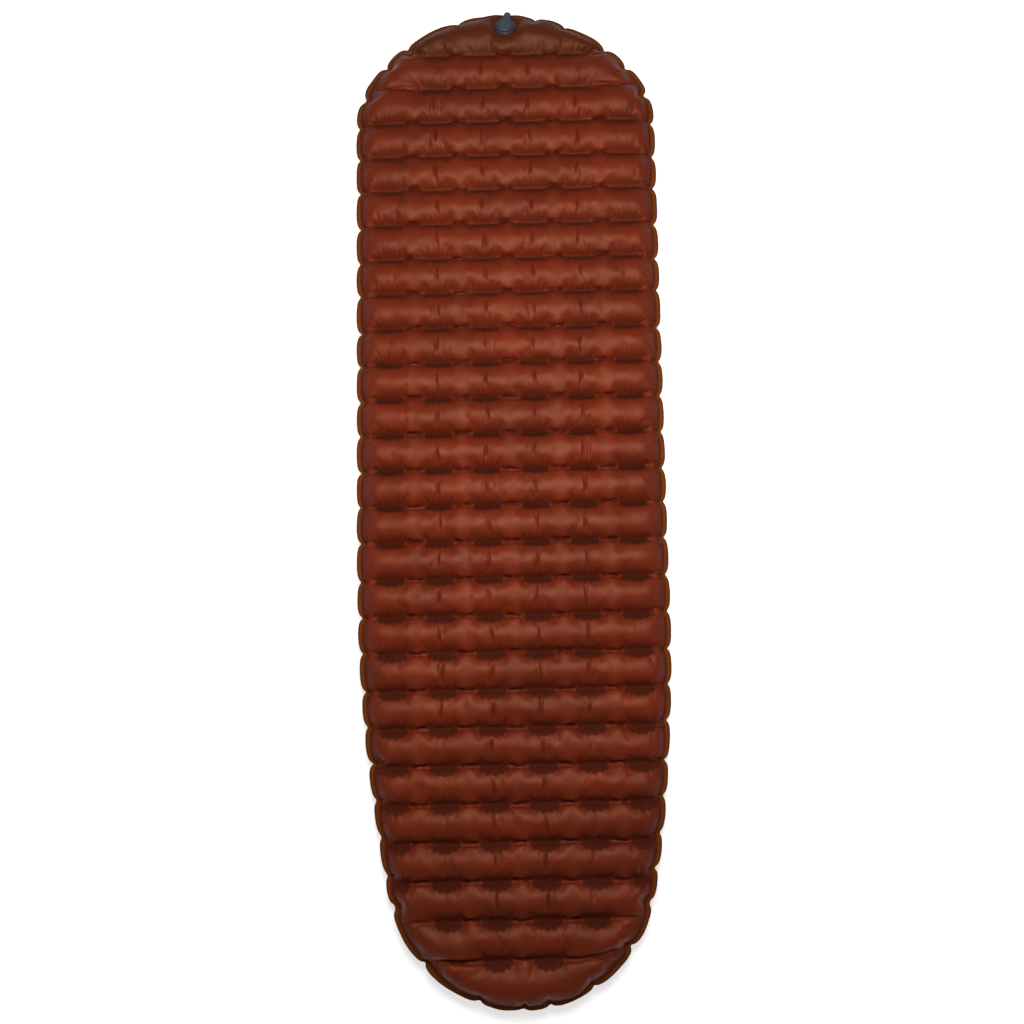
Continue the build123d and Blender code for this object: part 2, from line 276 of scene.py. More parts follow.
@dataclass
class RimLine:
    """The pad's outline, as a closed line that bows out between its notches."""

    corners: np.ndarray
    notch_plan: list[tuple[float, float, float]] = field(default_factory=list)
    bow: float = 5.0 * MM
    notch_width: float = 5.5 * MM

    def __post_init__(self) -> None:
        """Measures the outline's runs and puts the notches on it."""
        self.run = np.roll(self.corners, -1, axis=0) - self.corners
        self.length = np.linalg.norm(self.run, axis=1)
        self.out = np.c_[self.run[:, 1], -self.run[:, 0]] / self.length[:, None]
        self.start = np.r_[0, np.cumsum(self.length)[:-1]]
        self.total = float(self.length.sum())
        spots = np.array([n[:2] for n in self.notch_plan])
        along = self.measure(spots)[2]
        order = np.argsort(along)
        self.notch = along[order]
        self.depth = np.array([n[2] for n in self.notch_plan])[order]

    @classmethod
    def from_sheet(cls, node: bpy.types.Object, height: float, notches: list) -> "RimLine":
        """Reads the outline from a sheet's rim.

        Args:
            node: The sheet.
            height: Height of the rim.
            notches: Place and depth of each notch.

        Returns:
            The outline, counter-clockwise.
        """
        where = points(node.data)
        rim = np.unique(where[np.abs(where[:, 2] - height) < 0.01 * MM][:, :2].round(6), axis=0)

        def chain(line: np.ndarray) -> list:
            """Goes round one side of the outermost points."""
            kept: list = []
            for point in line:
                while len(kept) > 1:
                    a, b = kept[-2], kept[-1]
                    if (b[0] - a[0]) * (point[1] - a[1]) - (b[1] - a[1]) * (point[0] - a[0]) > 1e-12:
                        break
                    kept.pop()
                kept.append(point)
            return kept[:-1]

        return cls(np.array(chain(rim) + chain(rim[::-1])), notches)

    def measure(self, plan: np.ndarray) -> tuple[np.ndarray, np.ndarray, np.ndarray]:
        """Finds the nearest place of the outline to each plan position.

        Args:
            plan: Plan positions.

        Returns:
            Distance inside the outline, the way out, and the place along the outline.
        """
        inside, along = np.empty(len(plan)), np.empty(len(plan))
        way = np.empty((len(plan), 2))
        for first in range(0, len(plan), 4096):
            part = plan[first : first + 4096]
            t = np.clip(((part[:, None] - self.corners) * self.run).sum(2) / self.length**2, 0, 1)
            gap = part[:, None] - (self.corners + t[..., None] * self.run)
            far = np.linalg.norm(gap, axis=2)
            k, row = far.argmin(1), np.arange(len(part))
            nearest, least = gap[row, k], far[row, k]
            beyond = (nearest * self.out[k]).sum(1) > 0
            sign = np.where(beyond, 1.0, -1.0)[:, None]
            unit = np.where(
                (least > 1e-6)[:, None], sign * nearest / np.maximum(least, 1e-9)[:, None], self.out[k]
            )
            here = slice(first, first + len(part))
            inside[here] = np.where(beyond, -least, least)
            way[here] = unit
            along[here] = self.start[k] + t[row, k] * self.length[k]
        return inside, way, along

    def offset(self, along: np.ndarray) -> np.ndarray:
        """How far the real rim lies outside the plain outline.

        Args:
            along: Places along the outline.

        Returns:
            The offset, negative at a notch.
        """
        after = np.searchsorted(self.notch, along) % len(self.notch)
        before = (after - 1) % len(self.notch)
        back = (along - self.notch[before]) % self.total
        ahead = (self.notch[after] - along) % self.total
        share = back / np.maximum(back + ahead, 1e-9)
        swell = self.bow * np.clip(4 * share * (1 - share), 0, 1) ** 0.35
        swell = swell * smooth(back + ahead, 0.0, 60 * MM)
        cut = self.depth[before] * np.exp(-back / self.notch_width) + self.depth[after] * np.exp(
            -ahead / self.notch_width
        )
        return swell - cut

    def near_notch(self, along: np.ndarray) -> np.ndarray:
        """1 at a notch, falling to 0 over a couple of centimetres."""
        gap = np.abs((along[:, None] - self.notch + self.total / 2) % self.total - self.total / 2)
        return np.exp(-((gap.min(axis=1) / (14 * MM)) ** 2))


# ---------------------------------------------------------------- shader groups and finishes


class Shader:
    """A node tree with short ways to add nodes and links."""

    def __init__(self, tree: bpy.types.NodeTree) -> None:
        """Keeps the tree that nodes are added to."""
        self.tree = tree

    def add(self, kind: str, **settings: object) -> bpy.types.Node:
        """Adds a node.

        Args:
            kind: Blender's name for the node.
            settings: Properties, and input values under the input's name with spaces as underscores.

        Returns:
            The node.
        """
        node = self.tree.nodes.new(kind)
        for key, value in settings.items():
            if hasattr(node, key):
                setattr(node, key, value)
            else:
                self.put(node.inputs[key.replace("_", " ")], value)
        return node

    def put(self, socket: bpy.types.NodeSocket, value: object) -> None:
        """Links a socket, or sets its value."""
        if isinstance(value, bpy.types.NodeSocket):
            self.tree.links.new(value, socket)
        elif isinstance(value, tuple) and len(value) == 3 and socket.type == "RGBA":
            socket.default_value = (*value, 1.0)
        else:
            socket.default_value = value

    def maths(self, operation: str, a: object, b: object = 0.0, clamp: bool = False) -> bpy.types.NodeSocket:
        """Adds a Math node and returns its result."""
        node = self.add("ShaderNodeMath", operation=operation, use_clamp=clamp)
        self.put(node.inputs[0], a)
        self.put(node.inputs[1], b)
        return node.outputs[0]

    def blend(self, share: object, a: object, b: object, how: str = "MIX") -> bpy.types.NodeSocket:
        """Mixes two colours and returns the result."""
        node = self.add("ShaderNodeMix", data_type="RGBA", blend_type=how)
        self.put(node.inputs[0], share)
        self.put(node.inputs[6], a)
        self.put(node.inputs[7], b)
        return node.outputs[2]

    def spread(
        self, value: object, low: float, high: float, to_low: float, to_high: float
    ) -> bpy.types.NodeSocket:
        """Maps a range of values to another one, clamped."""
        node = self.add("ShaderNodeMapRange", clamp=True)
        for socket, given in zip(node.inputs, (value, low, high, to_low, to_high)):
            self.put(socket, given)
        return node.outputs[0]

    def fill(self, node: bpy.types.Node, values: dict[str, object]) -> None:
        """Sets or links several inputs of a node by their names."""
        for name, value in values.items():
            self.put(node.inputs[name], value)

    def object_place(self) -> bpy.types.NodeSocket:
        """Gives the object coordinates."""
        return self.add("ShaderNodeTexCoord").outputs["Object"]

    def part_of(self, layer: Layer, share: float) -> bpy.types.NodeSocket:
        """Reads a share of one of the envelope's values."""
        return self.maths("MULTIPLY", self.layer(layer), share)

    def layer(self, layer: Layer) -> bpy.types.NodeSocket:
        """Reads one of the envelope's values."""
        return self.add("ShaderNodeAttribute", attribute_name=layer.value).outputs["Fac"]


class EffectGroups:
    """Shader groups that several finishes share, each built once."""

    def __init__(self) -> None:
        """Builds every group."""
        self.weave = self._weave()
        self.mottle = self._mottle()
        self.grain = self._grain()

    @staticmethod
    def _start(
        name: str, inputs: dict[str, float], outputs: tuple[str, ...]
    ) -> tuple[Shader, dict, bpy.types.Node]:
        """Starts a group.

        Args:
            name: The group's name.
            inputs: Name and first value of each number that it takes.
            outputs: Name of each result.

        Returns:
            The group's shader, its inputs' sockets, and its output node.
        """
        tree = bpy.data.node_groups.new(name, "ShaderNodeTree")
        for key, value in inputs.items():
            made = tree.interface.new_socket(key, in_out="INPUT", socket_type="NodeSocketFloat")
            made.default_value = value
        for key in outputs:
            tree.interface.new_socket(key, in_out="OUTPUT", socket_type="NodeSocketFloat")
        shader = Shader(tree)
        entry = shader.add("NodeGroupInput")
        return shader, {s.name: s for s in entry.outputs if s.name}, shader.add("NodeGroupOutput")

    def _weave(self) -> bpy.types.NodeTree:
        """Plain weave of fine yarns, over and under."""
        shader, given, out = self._start("plain weave", {"Yarns per metre": 1600.0}, ("Height", "Shade"))
        split = shader.add("ShaderNodeSeparateXYZ", Vector=shader.object_place())
        turns = shader.maths("MULTIPLY", given["Yarns per metre"], math.pi)
        across = shader.maths("SINE", shader.maths("MULTIPLY", split.outputs[0], turns))
        along = shader.maths("SINE", shader.maths("MULTIPLY", split.outputs[1], turns))
        checker = shader.maths("MULTIPLY", across, along)
        rib = shader.maths("MULTIPLY", shader.maths("ABSOLUTE", across), shader.maths("ABSOLUTE", along))
        height = shader.maths("ADD", shader.maths("MULTIPLY", checker, 0.5), rib)
        shader.fill(out, {"Height": height, "Shade": shader.spread(height, -0.5, 1.5, 0.0, 1.0)})
        return shader.tree

    def _mottle(self) -> bpy.types.NodeTree:
        """Broad and middling unevenness of dye and handling."""
        shader, given, out = self._start("mottle", {"Broad": 9.0, "Middling": 60.0}, ("Broad", "Middling"))
        where = shader.object_place()
        for name, detail in (("Broad", 3.0), ("Middling", 5.0)):
            noise = shader.add("ShaderNodeTexNoise", Vector=where, Scale=given[name], Detail=detail)
            shader.put(out.inputs[name], noise.outputs["Fac"])
        return shader.tree

    def _grain(self) -> bpy.types.NodeTree:
        """Fine spark-eroded texture of moulded plastic and rubber."""
        shader, given, out = self._start("moulded grain", {"Scale": 2600.0}, ("Height", "Wear"))
        where = shader.object_place()
        fine = shader.add("ShaderNodeTexNoise", Vector=where, Scale=given["Scale"], Detail=2.0)
        broad_scale = shader.maths("MULTIPLY", given["Scale"], 0.07)
        broad = shader.add("ShaderNodeTexNoise", Vector=where, Scale=broad_scale, Detail=6.0)
        worn = shader.spread(broad.outputs["Fac"], 0.52, 0.72, 0.0, 1.0)
        shader.fill(out, {"Height": fine.outputs["Fac"], "Wear": worn})
        return shader.tree


def new_material(name: str) -> tuple[bpy.types.Material, Shader, bpy.types.Node]:
    """Starts a material.

    Args:
        name: The material's name.

    Returns:
        The material, its shader, and its Principled node.
    """
    material = bpy.data.materials.new(name)
    material.use_nodes = True
    shader = Shader(material.node_tree)
    return material, shader, material.node_tree.nodes["Principled BSDF"]


@dataclass(frozen=True)
class CoatedFabric:
    """Woven nylon with an airtight coating, with weld marks and painted shade in creases, folds and at the
    edges, and a painted-light flange, all from the envelope's layers.
    """

    name: str
    face: Colour
    # deep: a darker tone of the dye, which also serves as painted shade in the wrinkle fans, below the seams
    # and at the row ends.
    deep: Colour
    # weld: the weld marks' own darker colour, deepened with painted shade.
    weld: Colour
    # rim: a lighter orange for the flange, painted light where it lies flat.
    rim: Colour
    # hem: painted shade for the flange's cut edge and along the creases.
    hem: Colour
    head: Colour
    roughness: float = 0.46
    sheen: float = 0.03
    specular: float = 0.36

    def material(self, groups: EffectGroups) -> bpy.types.Material:
        """Builds the finish.

        Args:
            groups: The shared shader groups.

        Returns:
            The material.
        """
        material, shader, face = new_material(self.name)
        weave = shader.add("ShaderNodeGroup", node_tree=groups.weave)
        mottle = shader.add("ShaderNodeGroup", node_tree=groups.mottle)
        broad = shader.spread(mottle.outputs["Broad"], 0.32, 0.68, 0.0, 0.5)
        middling = shader.spread(mottle.outputs["Middling"], 0.35, 0.7, 0.05, 0.3)
        colour = shader.blend(broad, self.face, self.deep)
        for share, tint in (
            (middling, self.deep),
            (shader.part_of(Layer.HEAD, 0.7), self.head),
            # painted shade in the wrinkle fans and below the seams
            (shader.part_of(Layer.FAN, 0.62), self.deep),
            # weld marks, deepened with painted shade
            (shader.layer(Layer.WELD), self.weld),
            # painted shade in the creases
            (shader.layer(Layer.FOLD), self.hem),
            # painted shade at the row ends
            (shader.part_of(Layer.EDGE, 0.8), self.deep),
            # painted light on the flange
            (shader.layer(Layer.RIM), self.rim),
            # painted shade at the hem
            (shader.layer(Layer.HEM), self.hem),
        ):
            colour = shader.blend(share, colour, tint)
        yarn = shader.spread(weave.outputs["Shade"], 0.0, 1.0, 0.82, 1.08)
        tone = shader.add("ShaderNodeCombineXYZ", X=yarn, Y=yarn, Z=yarn)
        dull = shader.maths("ADD", shader.part_of(Layer.WELD, 0.1), shader.part_of(Layer.EDGE, 0.35))
        low, high = self.roughness - 0.05, self.roughness + 0.07
        worn = shader.spread(mottle.outputs["Middling"], 0.3, 0.7, low, high)
        matt = shader.maths("MAXIMUM", shader.layer(Layer.WELD), shader.layer(Layer.EDGE))
        matt = shader.maths("MAXIMUM", matt, shader.layer(Layer.FOLD))
        crinkle = shader.add(
            "ShaderNodeTexNoise", Vector=shader.object_place(), Scale=190.0, Detail=4.0, Roughness=0.55
        )
        strength = shader.spread(shader.layer(Layer.FAN), 0.0, 1.0, 0.25, 1.6)
        creased = shader.maths("MULTIPLY", crinkle.outputs["Fac"], strength)
        coarse = shader.add("ShaderNodeBump", Strength=0.35, Distance=0.0012, Height=creased)
        fine = shader.add("ShaderNodeBump", Strength=0.3, Distance=0.00018, Height=weave.outputs["Height"])
        shader.put(fine.inputs["Normal"], coarse.outputs[0])
        shader.fill(
            face,
            {
                "Base Color": shader.blend(1.0, colour, tone.outputs[0], "MULTIPLY"),
                "Roughness": shader.maths("ADD", worn, dull, clamp=True),
                "Specular IOR Level": shader.spread(matt, 0.0, 0.85, self.specular, 0.01),
                "Specular Tint": (1.0, 0.52, 0.32),
                "Sheen Weight": self.sheen,
                "Sheen Roughness": 0.45,
                "Sheen Tint": (0.95, 0.42, 0.22),
                "Normal": fine.outputs[0],
            },
        )
        return material


@dataclass(frozen=True)
class WebFilm:
    """Plain coated fabric of the webs inside."""

    name: str = "web film"
    face: Colour = srgb(205, 200, 192)
    yarn: Colour = srgb(176, 170, 160)

    def material(self, groups: EffectGroups) -> bpy.types.Material:
        """Builds the finish from the shared groups."""
        material, shader, face = new_material(self.name)
        weave = shader.add("ShaderNodeGroup", node_tree=groups.weave)
        mottle = shader.add("ShaderNodeGroup", node_tree=groups.mottle)
        share = shader.maths("MULTIPLY", weave.outputs["Shade"], mottle.outputs["Middling"])
        shader.put(face.inputs["Base Color"], shader.blend(share, self.face, self.yarn))
        shader.put(face.inputs["Roughness"], shader.spread(mottle.outputs["Broad"], 0.3, 0.7, 0.45, 0.6))
        bump = shader.add("ShaderNodeBump", Strength=0.3, Distance=0.0002, Height=weave.outputs["Height"])
        shader.put(face.inputs["Normal"], bump.outputs[0])
        return material


@dataclass(frozen=True)
class Moulded:
    """Moulded plastic, rubber or silicone with a fine grain and handling marks."""

    name: str
    body: Colour
    worn: Colour
    roughness: float = 0.45
    grain: float = 0.25
    scale: float = 2600.0
    coat: float = 0.0
    see_through: float = 0.0

    def material(self, groups: EffectGroups) -> bpy.types.Material:
        """Builds the finish from the shared groups."""
        material, shader, face = new_material(self.name)
        grain = shader.add("ShaderNodeGroup", node_tree=groups.grain, Scale=self.scale)
        shader.put(face.inputs["Base Color"], shader.blend(grain.outputs["Wear"], self.body, self.worn))
        shader.put(
            face.inputs["Roughness"],
            shader.spread(grain.outputs["Wear"], 0.0, 1.0, self.roughness, min(self.roughness + 0.14, 1.0)),
        )
        bump = shader.add(
            "ShaderNodeBump", Strength=self.grain, Distance=0.00008, Height=grain.outputs["Height"]
        )
        shader.put(face.inputs["Normal"], bump.outputs[0])
        face.inputs["Coat Weight"].default_value = self.coat
        face.inputs["Transmission Weight"].default_value = self.see_through
        return material


@dataclass(frozen=True)
class DrawnSteel:
    """Drawn steel wire with a fine grain and duller patches."""

    name: str = "drawn steel"
    bright: Colour = (0.62, 0.61, 0.6)
    dull: Colour = (0.36, 0.35, 0.34)

    def material(self, groups: EffectGroups) -> bpy.types.Material:
        """Builds the finish from the shared groups."""
        material, shader, face = new_material(self.name)
        grain = shader.add("ShaderNodeGroup", node_tree=groups.grain, Scale=3400.0)
        shader.put(face.inputs["Base Color"], shader.blend(grain.outputs["Wear"], self.bright, self.dull))
        shader.put(face.inputs["Roughness"], shader.spread(grain.outputs["Height"], 0.3, 0.7, 0.22, 0.4))
        face.inputs["Metallic"].default_value = 1.0
        bump = shader.add("ShaderNodeBump", Strength=0.2, Distance=0.00004, Height=grain.outputs["Height"])
        shader.put(face.inputs["Normal"], bump.outputs[0])
        return material


# ---------------------------------------------------------------- the envelope


@dataclass
class Inflation:
    """How a cut sheet is blown up as cloth."""

    frames: int = 14
    quality: int = 5
    point_mass: float = 0.004
    pressure: float = 100.0
    tension: float = 150.0
    compression: float = 5.0
    shear: float = 3.0
    bending: float = 0.05
    damping: float = 1.0
    drag: float = 0.5
    most_slack: float = 0.3
    cap: float = 11 * MM

    def run(self, piece: bpy.types.Object, held: np.ndarray, slack: np.ndarray) -> None:
        """Blows the piece up and leaves its mesh in the new shape, with no cloth on it.

        Args:
            piece: The sheet, in its starting shape.
            held: 1 at points that don't move.
            slack: Share by which the cloth round each point is larger than it starts.
        """
        pins = piece.vertex_groups.new(name="held")
        pins.add([int(i) for i in np.nonzero(held > 0.5)[0]], 1.0, "REPLACE")
        loose = piece.vertex_groups.new(name="slack")
        weight = np.clip(1 - slack / self.most_slack, 0, 1).round(3)
        for value in np.unique(weight):
            loose.add([int(i) for i in np.nonzero(weight == value)[0]], float(value), "REPLACE")
        start = points(piece.data)
        cloth = piece.modifiers.new("inflate", "CLOTH")
        settings = cloth.settings
        settings.quality, settings.mass, settings.air_damping = self.quality, self.point_mass, self.drag
        settings.tension_stiffness, settings.compression_stiffness = self.tension, self.compression
        settings.shear_stiffness, settings.bending_stiffness = self.shear, self.bending
        settings.tension_damping = settings.compression_damping = self.damping
        settings.shear_damping = settings.bending_damping = self.damping / 2
        settings.use_pressure, settings.uniform_pressure_force = True, self.pressure
        settings.vertex_group_mass = pins.name
        settings.vertex_group_shrink = loose.name
        settings.shrink_min, settings.shrink_max = -self.most_slack, 0.0
        settings.effector_weights.gravity = 0
        cloth.collision_settings.use_collision = False
        cloth.point_cache.frame_start, cloth.point_cache.frame_end = 1, self.frames
        for number in range(1, self.frames + 1):
            bpy.context.scene.frame_set(number)
        shape = piece.evaluated_get(bpy.context.evaluated_depsgraph_get())
        end = points(shape.data)
        step = end - start
        far = np.linalg.norm(step, axis=1)
        step *= np.minimum(1.0, self.cap / np.maximum(far, 1e-9))[:, None]
        piece.modifiers.remove(cloth)
        piece.vertex_groups.clear()
        bpy.context.scene.frame_set(1)
        place(piece.data, start + step)
        log.info("cloth: %d points, moved %.1f mm at most", len(start), 1000 * float(far.max()))


@dataclass
class Marks:
    """Creases that are finer than the cloth, and the masks that the finish reads: weld marks with painted
    shade, and painted shade in folds and wrinkle fans.
    """

    plan: np.ndarray
    layout: PadLayout
    rng: np.random.Generator
    window: tuple[float, float] = (50 * MM, 60 * MM)
    patch_sag: tuple[float, float] = (5.5 * MM, 5.5 * MM)
    lobe_depth: tuple[float, float] = (1.7 * MM, 1.5 * MM)
    lobe_width: float = 10.5 * MM
    lobe_inset: float = 1.2 * MM
    patch_edge: tuple[float, float] = (2.6 * MM, 6 * MM)
    fan_sides: tuple[tuple[int, float, float], ...] = ((1, 10 * MM, 0.9 * MM), (-1, 9 * MM, 0.6 * MM))
    fan_centre: float = 20 * MM
    fan_spread: float = 7 * MM
    fan_half: float = 34 * MM
    slit_width: float = 2.0 * MM
    lip_place: float = 5 * MM
    lip_width: float = 2.4 * MM
    line_wave: float = 1.6 * MM
    line_depth: float = 3.2 * MM
    line_reach: float = 4.5 * MM
    line_width: float = 1.9 * MM
    end_fold_depth: float = 6.5 * MM
    end_fold_width: float = 9 * MM

    def __post_init__(self) -> None:
        """Starts with no mark at all."""
        self.push, self.weld, self.fold, self.fan = (np.zeros(len(self.plan)) for _ in range(4))

    def around(self, x: float, y: float) -> tuple[np.ndarray, np.ndarray, np.ndarray]:
        """Finds the points round a tab.

        Args:
            x: The tab's middle across the pad.
            y: Its seam.

        Returns:
            Their numbers, and their places from the tab's middle, across and along.
        """
        off = np.abs(self.plan - (x, y))
        near = np.nonzero((off[:, 0] < self.window[0]) & (off[:, 1] < self.window[1]))[0]
        return near, self.plan[near, 0] - x, self.plan[near, 1] - y

    def weld_patch(self, index: int, spot: tuple, y: float, length: float) -> None:
        """Marks the welded patch at a tab, partly the weld's own darker colour and partly painted shade,
        which spreads in lobes on the foot side.

        Args:
            index: Which seam.
            spot: The points round the tab.
            y: The seam's place.
            length: The tab's length.
        """
        near, dx, dy = spot
        foot = float(smooth(-y, -50 * MM, 420 * MM))
        spread_out = np.clip(1 + np.minimum(dy, 0) * -0.018 / MM, 1, 1.3)
        wave = np.abs(np.sin(dx / spread_out * math.pi / self.lobe_width + index))
        lobes = (self.lobe_depth[0] + self.lobe_depth[1] * foot) * wave
        middle = np.cos(np.clip(dx / length / 1.25, -0.5, 0.5) * math.pi)
        sag = (self.patch_sag[0] + self.patch_sag[1] * foot) * middle + lobes - self.lobe_inset
        low = np.where(dy < 0, np.maximum(-dy - sag, 0), dy * 1.15)
        body = np.maximum(np.abs(dx) / spread_out - length / 2 + 4 * MM, 0)
        # The patch and its painted shade are weaker towards the foot and towards the head.
        strength = 0.85 - 0.15 * foot - 0.4 * float(smooth(y, 0.1, 0.6))
        shaded_weld = strength * (1 - smooth(np.hypot(body, low), *self.patch_edge))
        self.weld[near] = np.maximum(self.weld[near], shaded_weld)

    def fans(self, index: int, spot: tuple) -> None:
        """Adds the fans of wrinkles on both sides of a tab, with painted shade in their troughs.

        Args:
            index: Which seam.
            spot: The points round the tab.
        """
        near, dx, dy = spot
        for side, reach_out, strength in self.fan_sides:
            up = dy * side
            angle = np.arctan2(dx, up + self.fan_centre)
            turn = angle * self.rng.uniform(24, 30) + self.rng.uniform(0, math.tau)
            rays = np.sin(turn + 1.3 * np.sin(angle * 7 + index))
            reach = np.exp(-(((up - reach_out) / self.fan_spread) ** 2))
            reach *= smooth(self.fan_half - np.abs(dx), 0, 12 * MM) * (up > 0)
            self.push[near] += strength * self.rng.uniform(0.6, 1.2) * rays * reach
            # Painted shade in the wrinkles' troughs, half as strong on the foot side of the seam.
            trough_shade = np.clip(0.45 - 0.65 * rays, 0, 1) * (1.0 if side > 0 else 0.5)
            self.fan[near] = np.maximum(self.fan[near], reach * trough_shade)

    def slit(self, spot: tuple) -> None:
        """Adds the narrow crease in the row on the head side of a tab, with painted shade along it.

        Args:
            spot: The points round the tab.
        """
        near, dx, dy = spot
        lean, slide = self.rng.uniform(-0.14, 0.14), self.rng.uniform(-3, 3) * MM
        middle = self.layout.pitch / 2 + self.rng.uniform(-2, 5) * MM
        line = dx - slide - lean * (dy - middle)
        run = np.exp(-(((dy - middle) / (self.rng.uniform(12, 16) * MM)) ** 4))
        depth = self.rng.uniform(1.8, 2.8) * MM
        cut = run * np.exp(-((line / self.slit_width) ** 2))
        lips = run * np.exp(-(((np.abs(line) - self.lip_place) / self.lip_width) ** 2))
        self.push[near] += 0.35 * depth * lips - depth * cut
        # Painted shade along the slit.
        self.fold[near] = np.maximum(self.fold[near], 0.45 * cut)

    def seam_line(self, index: int, seed: int) -> None:
        """Adds the sharp line where two rows meet, dipping at the tabs and rising between them, with painted
        shade along it and a band of painted shade on its foot side, strongest in the head rows.

        Args:
            index: Which seam, from the head.
            seed: Which wander the line has.
        """
        lay, across, along = self.layout, self.plan[:, 0], self.plan[:, 1]
        seam = float(lay.seams[index])
        turn = np.cos(across * math.tau / lay.tab_pitch)
        wander = 0.8 * MM * ripple(np.c_[across, np.full(len(across), seam)], 30 * MM, seed)
        off = along - seam - self.line_wave * turn - wander
        gap = smooth(turn, 0.1, 0.6)
        here = smooth(lay.reach[index] + 8 * MM - np.abs(across), 0, 8 * MM)
        self.push -= self.line_depth * gap * here * np.exp(-np.abs(off) / self.line_reach)
        # Painted shade along the seam line.
        line = here * (0.45 + 0.4 * gap) * np.exp(-((off / self.line_width) ** 2))
        self.fold = np.maximum(self.fold, line)
        # A band of painted shade just on the foot side of the seam, strongest in the head rows.
        below = seam - along
        shade_band = smooth(below, -1 * MM, 2 * MM) * (1 - smooth(below, 6 * MM, 22 * MM))
        self.fan = np.maximum(self.fan, 0.75 * float(smooth(seam, -150 * MM, 450 * MM)) * shade_band)

    def valley(self, start: tuple[float, float], end: tuple[float, float]) -> None:
        """Adds a straight crease that fades at both ends, with painted shade along its line.

        Args:
            start: Where it starts.
            end: Where it ends.
        """
        run = np.array(end) - np.array(start)
        t = ((self.plan - start) @ run) / (run @ run)
        off = np.linalg.norm(self.plan - (start + np.clip(t, 0, 1)[:, None] * run), axis=1)
        fade = np.clip(np.sin(np.clip(t * 0.9 + 0.05, 0, 1) * math.pi), 0, 1) ** 0.6
        self.push -= self.end_fold_depth * fade * np.clip(1 - off / self.end_fold_width, 0, 1) ** 1.6
        # Painted shade along the crease line.
        self.fold = np.maximum(self.fold, 0.7 * fade * np.clip(1 - off / (4 * MM), 0, 1) ** 1.6)


